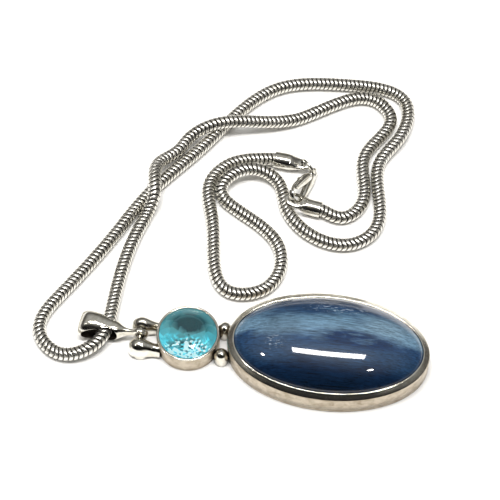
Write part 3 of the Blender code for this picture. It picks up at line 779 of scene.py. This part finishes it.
def domed_post(half_x, half_y, top, count=64):
    dome = 0.45 * top
    profile = [(0.97, 0), (1, 0.0001), (1, top - dome)]
    profile += [(cos(a), top - dome + dome * sin(a)) for a in np.linspace(0.12, 1.5, 14)]
    return lofted([ellipse(half_x * share, half_y * share, z, count) for share, z in profile])


def make_posts(silver):
    for name, y in zip(("right", "left"), POST_Y):
        place = Matrix.Translation((POST_X, y, 0))
        dome = domed_post(POST_RADIUS, POST_RADIUS, POST_TOP_Z)
        post = add_object(dome, f"post_{name}_dome", silver, place)
        for form in grown_bezels():
            boolean(post, form, "DIFFERENCE")
        soften(post, WORN_EDGE)
        place_piece(post, "pendant", "polished_silver", f"link_post_{name}")


def make_lugs(silver):
    """Each lug is a polished drop on a low foot, narrowing to where it meets the bezel's wall."""
    drop = (
        (-0.02505, 0.0002, 0.0016), (-0.02485, 0.0008, 0.0028), (-0.0242, 0.00128, 0.0037),
        (-0.0232, 0.00150, 0.0042), (-0.0221, 0.00145, 0.0041), (-0.0210, 0.00118, 0.0036),
        (-0.0199, 0.00100, 0.0031), (-0.0185, 0.00100, 0.0029),
    )
    for name, side, full in (("right", 1, 1.08), ("left", -1, 1.26)):
        y = HINGE_Y + side * (LUG_GAP / 2 + full * LUG_HALF_WIDTH)
        sections = []
        for x, half_width, top in finer(drop, 4):
            half_width *= full
            middle = 0.42 * top
            section = []
            for i in range(48):
                angle = 2 * pi * (i + 0.5) / 48
                up = sin(angle)
                z = middle + (top - middle) * up if up > 0 else middle - (middle - 0.00012) * abs(up) ** 0.4
                section.append((x, y + half_width * cos(angle), z))
            sections.append(section)
        lug = add_object(lofted(sections), f"lug_{name}_drop", silver)
        foot = stacked(
            [(-0.0001, 0), (0, 0.0001), (0, 0.0008), (-0.00015, 0.00105)], LUG_HALF_LENGTH,
            full * LUG_HALF_WIDTH, 64, (HINGE_X + 0.0003, y),
        )
        boolean(lug, foot, "UNION")
        boolean(lug, grown_bezels()[0], "DIFFERENCE")
        boolean(lug, cylinder(PIN_HOLE_RADIUS, 0.00408), "DIFFERENCE", along_y((HINGE_X, HINGE_Y, HINGE_Z)))
        soften(lug, WORN_EDGE)
        place_piece(lug, "pendant", "polished_silver", f"hinge_lug_{name}")


def bail_section(u, half_width, low, high, count=56):
    points = []
    middle = (low + high) / 2
    half_height = (high - low) / 2
    for i in range(count):
        angle = 2 * pi * (i + 0.5) / count
        across = abs(cos(angle)) ** 0.75 * (1 if cos(angle) > 0 else -1)
        up = abs(sin(angle)) * (1 if sin(angle) > 0 else -1)
        crown = 1 - 0.06 * across**2
        points.append((u, half_width * across, middle + half_height * up * crown))
    return points


def make_bail(silver, painted_shade):
    stations = (
        (0.0012, 0.00050, 0.0019, 0.0037), (0.0026, 0.00062, 0.0014, 0.0036),
        (0.0035, 0.00100, 0.0009, 0.0038), (0.0046, 0.00165, 0.0004, 0.0043),
        (0.0058, 0.00212, 0.0002, 0.0046), (0.0072, 0.00240, 0.0001, 0.0051),
        (0.0086, 0.00262, 0.0, 0.0055), (0.0100, 0.00275, 0.0, 0.0057),
        (0.0112, 0.00282, 0.0002, 0.0055), (0.0121, 0.00266, 0.0008, 0.0048),
        (0.01255, 0.00240, 0.0015, 0.0041), (BAIL_LENGTH, 0.00200, 0.0024, 0.0032),
    )
    place = Matrix.Translation((HINGE_X, HINGE_Y, 0)) @ Matrix.Rotation(pi + BAIL_TURN, 4, "Z")
    sections = [bail_section(*row) for row in finer(stations, 4)]
    bail = add_object(lofted(sections), "bail_loop", silver, place)
    start, end = BAIL_OPENING_U
    outline = []
    for i in range(72):
        angle = 2 * pi * (i + 0.5) / 72
        along = abs(cos(angle)) ** 0.85 * (1 if cos(angle) > 0 else -1)
        up = abs(sin(angle)) ** 0.85 * (1 if sin(angle) > 0 else -1)
        u = (start + end) / 2 + (end - start) / 2 * along
        outline.append((u, BAIL_OPENING_Z + BAIL_OPENING_HEIGHT / 2 * up))
    way = lofted([[(u, y, z) for u, z in outline] for y in (-0.005, 0.005)])
    boolean(bail, way, "DIFFERENCE", place)
    eye_place = place @ along_y((0, 0, HINGE_Z))
    boolean(bail, cylinder(EYE_RADIUS, EYE_THICKNESS, 56, 0.0002), "UNION", eye_place)
    boolean(bail, cylinder(EYE_HOLE_RADIUS, 3 * EYE_THICKNESS), "DIFFERENCE", eye_place)
    soften(bail, 0.00009, 48)
    # Painted shade: the faces inside the loop's opening get the near-black painted shade material, where
    # only shade falls.
    bail.data.materials.append(painted_shade)
    middle = Vector(((start + end) / 2, 0, BAIL_OPENING_Z))
    for face in bail.data.polygons:
        inward = middle - face.center
        inward.y = 0
        if abs(face.normal.y) < 0.4 and inward.dot(face.normal) > 0 and face.center.x > start - 0.0001:
            face.material_index = 1
    place_piece(bail, "bail", "polished_silver", "bail")


# End caps, jump ring and clasp


def rounded_section(x, rise, half_width, half_height, count=56):
    return [
        (x, half_width * cos(2 * pi * i / count), rise + half_height * sin(2 * pi * i / count))
        for i in range(count)
    ]


def cap_shell(name, rows, mouth, direction, silver):
    place = frame_matrix(mouth, direction, Vector((0, 0, 1)).cross(Vector(direction)))
    sections = [rounded_section(*row) for row in finer(rows, 3)]
    cap = add_object(lofted(sections), name, silver, place)
    socket = cylinder(CHAIN_RADIUS + 0.00006, 2 * CAP_SOCKET)
    boolean(cap, socket, "DIFFERENCE", place @ Matrix.Rotation(pi / 2, 4, "Y"))
    return cap, place


def make_cap_a(silver):
    r = CAP_RADIUS
    rows = (
        (0, 0, 0.94 * r, 0.94 * r), (0.00015, 0, r, r), (0.0030, 0, r, r),
        (0.0040, 0, 0.95 * r, 0.76 * r), (0.0050, 0, 0.85 * r, 0.40 * r),
        (0.0060, 0, 0.76 * r, 0.27 * r), (0.0068, 0, 0.64 * r, 0.25 * r),
        (0.0073, 0, 0.42 * r, 0.23 * r), (0.0075, 0, 0.18 * r, 0.18 * r),
    )
    cap, _ = cap_shell("cap_clasp_side_shell", rows, CAP_A_MOUTH, CAP_A_AIM, silver)
    boolean(cap, cylinder(WIRE_HOLE_RADIUS, 0.004), "DIFFERENCE", ring_frame(RING_IN_CAP))
    soften(cap, FINE_EDGE)
    return place_piece(cap, "chain", "plain_silver", "end_cap_clasp_side")


def make_cap_b(silver):
    r = CAP_RADIUS
    rows = (
        (0, 0, 0.94 * r, 0.94 * r), (0.00015, 0, r, r), (0.0026, 0, r, r),
        (0.0032, 0.00022, 1.01 * r, 0.00152), (0.0040, 0.00070, 1.03 * r, 0.00100),
        (0.0048, 0.00118, 1.03 * r, 0.00050), (0.0056, 0.00132, 1.00 * r, 0.00036),
        (0.0064, 0.00138, 0.90 * r, 0.00033), (0.0072, 0.00146, 0.70 * r, 0.00030),
        (0.0077, 0.00148, 0.36 * r, 0.00027), (0.0079, 0.00148, 0.16 * r, 0.00021),
    )
    cap, place = cap_shell("cap_loop_side_shell", rows, CAP_B_MOUTH, CAP_B_AIM, silver)
    angles = [2 * pi * i / 64 for i in range(64)]
    slot = lofted([
        [(0.0051 + 0.0022 * cos(a), (0.00112 - 0.00012 * cos(a)) * sin(a), z) for a in angles]
        for z in (-0.003, 0.004)
    ])
    boolean(cap, slot, "DIFFERENCE", place)
    soften(cap, FINE_EDGE)
    return place_piece(cap, "chain", "plain_silver", "end_cap_loop_side")


def ring_matrix():
    return frame_matrix(RING_CENTRE, RING_ACROSS, RING_UP)


def ring_frame(angle):
    turned = ring_matrix() @ Matrix.Rotation(angle, 4, "Z")
    return turned @ Matrix.Translation((RING_RADIUS, 0, 0)) @ Matrix.Rotation(-pi / 2, 4, "X")


def make_jump_ring(silver):
    sections = []
    for i in range(96):
        turn = 2 * pi * i / 96
        section = []
        for j in range(20):
            lean = 2 * pi * j / 20
            reach = RING_RADIUS + WIRE_RADIUS * cos(lean)
            section.append((reach * cos(turn), reach * sin(turn), WIRE_RADIUS * sin(lean)))
        sections.append(section)
    ring = add_object(lofted(sections, ring=True), "jump_ring_wire", silver, ring_matrix())
    return place_piece(ring, "jump_ring", "plain_silver", "jump_ring")


def bar_along(rows, count=32, power=0.8, steps=3):
    rows = finer(rows, steps)
    sections = []
    for i, (x, y, width, thickness) in enumerate(rows):
        before, after = rows[max(i - 1, 0)], rows[min(i + 1, len(rows) - 1)]
        along = Vector((after[0] - before[0], after[1] - before[1])).normalized()
        section = []
        for j in range(count):
            angle = 2 * pi * (j + 0.5) / count
            across = abs(cos(angle)) ** power * (1 if cos(angle) > 0 else -1) * width / 2
            up = abs(sin(angle)) ** power * (1 if sin(angle) > 0 else -1) * thickness / 2
            section.append((x - along.y * across, y + along.x * across, up))
        sections.append(section)
    return lofted(sections)


def make_clasp(silver):
    eye = ring_frame(RING_IN_CLASP)
    place = frame_matrix(eye.translation, CLASP_AIM, CLASP_LEVER_SIDE)
    t, nose = CLASP_THICKNESS, CLASP_NOSE_THICKNESS
    spine = (
        (-0.00115, 0.0, 0.0008, 0.0008), (-0.0009, 0.0, 0.0015, 0.0010), (-0.0004, 0.0, 0.0021, 0.0011),
        (0.0003, -0.00003, 0.0023, 0.0012), (0.0012, -0.00045, 0.0021, 0.0014),
        (0.0024, -0.00080, 0.0022, t), (0.0040, -0.00120, 0.0019, t), (0.0058, -0.00160, 0.0014, t),
        (0.0072, -0.00188, 0.0008, 0.0013), (0.0084, -0.00170, 0.0007, nose),
        (0.0093, -0.00100, 0.0007, nose), (0.0097, 0.0, 0.0007, nose), (0.0096, 0.0008, 0.0007, nose),
        (0.0092, 0.00145, 0.0006, nose), (0.0089, 0.00170, 0.0004, 0.0009),
    )
    body = add_object(bar_along(spine), "clasp_hook", silver, place)
    cheeks = (
        (0.0016, 0.00000, 0.0008, 0.0011), (0.0020, 0.00030, 0.0015, 0.0015),
        (0.0026, 0.0006, 0.0021, 0.0015), (0.0045, 0.00095, 0.0021, 0.0015),
        (0.0062, 0.00130, 0.0018, 0.0015), (0.0074, 0.00160, 0.0014, 0.0014),
        (0.0080, 0.00175, 0.0008, 0.0012),
    )
    pivot = place @ Matrix.Translation((*LEVER_PIVOT, 0))
    boolean(body, bar_along(cheeks), "UNION", place)
    boolean(body, cylinder(RIVET_RADIUS + CLEARANCE, 0.004), "DIFFERENCE", pivot)
    boolean(body, cylinder(WIRE_HOLE_RADIUS, 0.005), "DIFFERENCE", eye)
    slot = bmesh.new()
    bmesh.ops.create_cube(slot, size=1)
    bmesh.ops.scale(slot, vec=(0.0071, 0.0030, CLASP_SLOT), verts=slot.verts)
    bmesh.ops.translate(slot, vec=(0.00485, 0.00163, 0), verts=slot.verts)
    boolean(body, slot, "DIFFERENCE", place)
    soften(body, FINE_EDGE)
    place_piece(body, "clasp", "plain_silver", "clasp_body")

    lever = (
        (0.0016, 0.00085, 0.0006, LEVER_THICKNESS), (0.0022, 0.0009, 0.0011, LEVER_THICKNESS),
        (0.0046, 0.00135, 0.0012, LEVER_THICKNESS), (0.0084, 0.00185, 0.0006, LEVER_THICKNESS),
    )
    blade = (
        (0.0069, 0.00164, 0.0008, 0.0006), (0.0071, 0.00168, 0.0010, 0.00074),
        (0.0081, 0.00182, 0.0009, 0.00074), (0.0087, 0.00190, 0.0005, 0.0006),
    )
    nub = (
        (0.0052, 0.0013, 0.0008, 0.0007), (0.0052, 0.0019, 0.0009, 0.0009),
        (0.0052, 0.0022, 0.0010, 0.0011), (0.0052, 0.0024, 0.0006, 0.0007),
    )
    trigger = add_object(bar_along(lever), "clasp_lever", silver, place)
    boolean(trigger, bar_along(blade), "UNION", place)
    boolean(trigger, bar_along(nub), "UNION", place)
    boolean(trigger, cylinder(RIVET_RADIUS + CLEARANCE, 0.004), "DIFFERENCE", pivot)
    soften(trigger, FINE_EDGE)
    place_piece(trigger, "trigger", "plain_silver", "clasp_trigger")
    return body, trigger


def main():
    make_camera()
    chain, line, length = make_chain(make_chain_silver())
    silver = make_silver(
        "polished silver", (0.86, 0.84, 0.77), (0.64, 0.60, 0.50), (0.09, 0.22), 0.92, 0.00003
    )
    satin = make_silver("satin silver", (0.56, 0.49, 0.39), (0.33, 0.27, 0.19), (0.32, 0.46), 0.9, 0.00006)
    plain = make_silver(
        "clasp silver", (0.86, 0.84, 0.78), (0.58, 0.55, 0.47), (0.12, 0.26), 0.85, 0.00002
    )
    make_round_setting(silver, satin, make_topaz())
    make_oval_setting(silver, satin, make_kyanite())
    make_posts(silver)
    make_lugs(silver)
    # Near-black silver that paints the shade inside the bail's opening.
    painted_shade = make_silver(
        "blackened silver", (0.07, 0.06, 0.05), (0.025, 0.022, 0.02), (0.35, 0.5), 0.9, 0.00003
    )
    make_bail(silver, painted_shade)
    fittings = [make_cap_a(plain), make_cap_b(plain), make_jump_ring(plain), *make_clasp(plain)]
    for name, material in (
        ("round_backplate", satin), ("oval_backplate", satin), ("stone_seat_ring", silver),
        ("hinge_pin", silver), ("trigger_rivet", plain), ("trigger_spring", plain),
    ):
        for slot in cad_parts[name].material_slots:
            slot.material = material
    make_floor()
    make_lights()
    settings = bpy.context.scene.view_settings
    settings.view_transform = "Standard"
    settings.look = "None"


main()
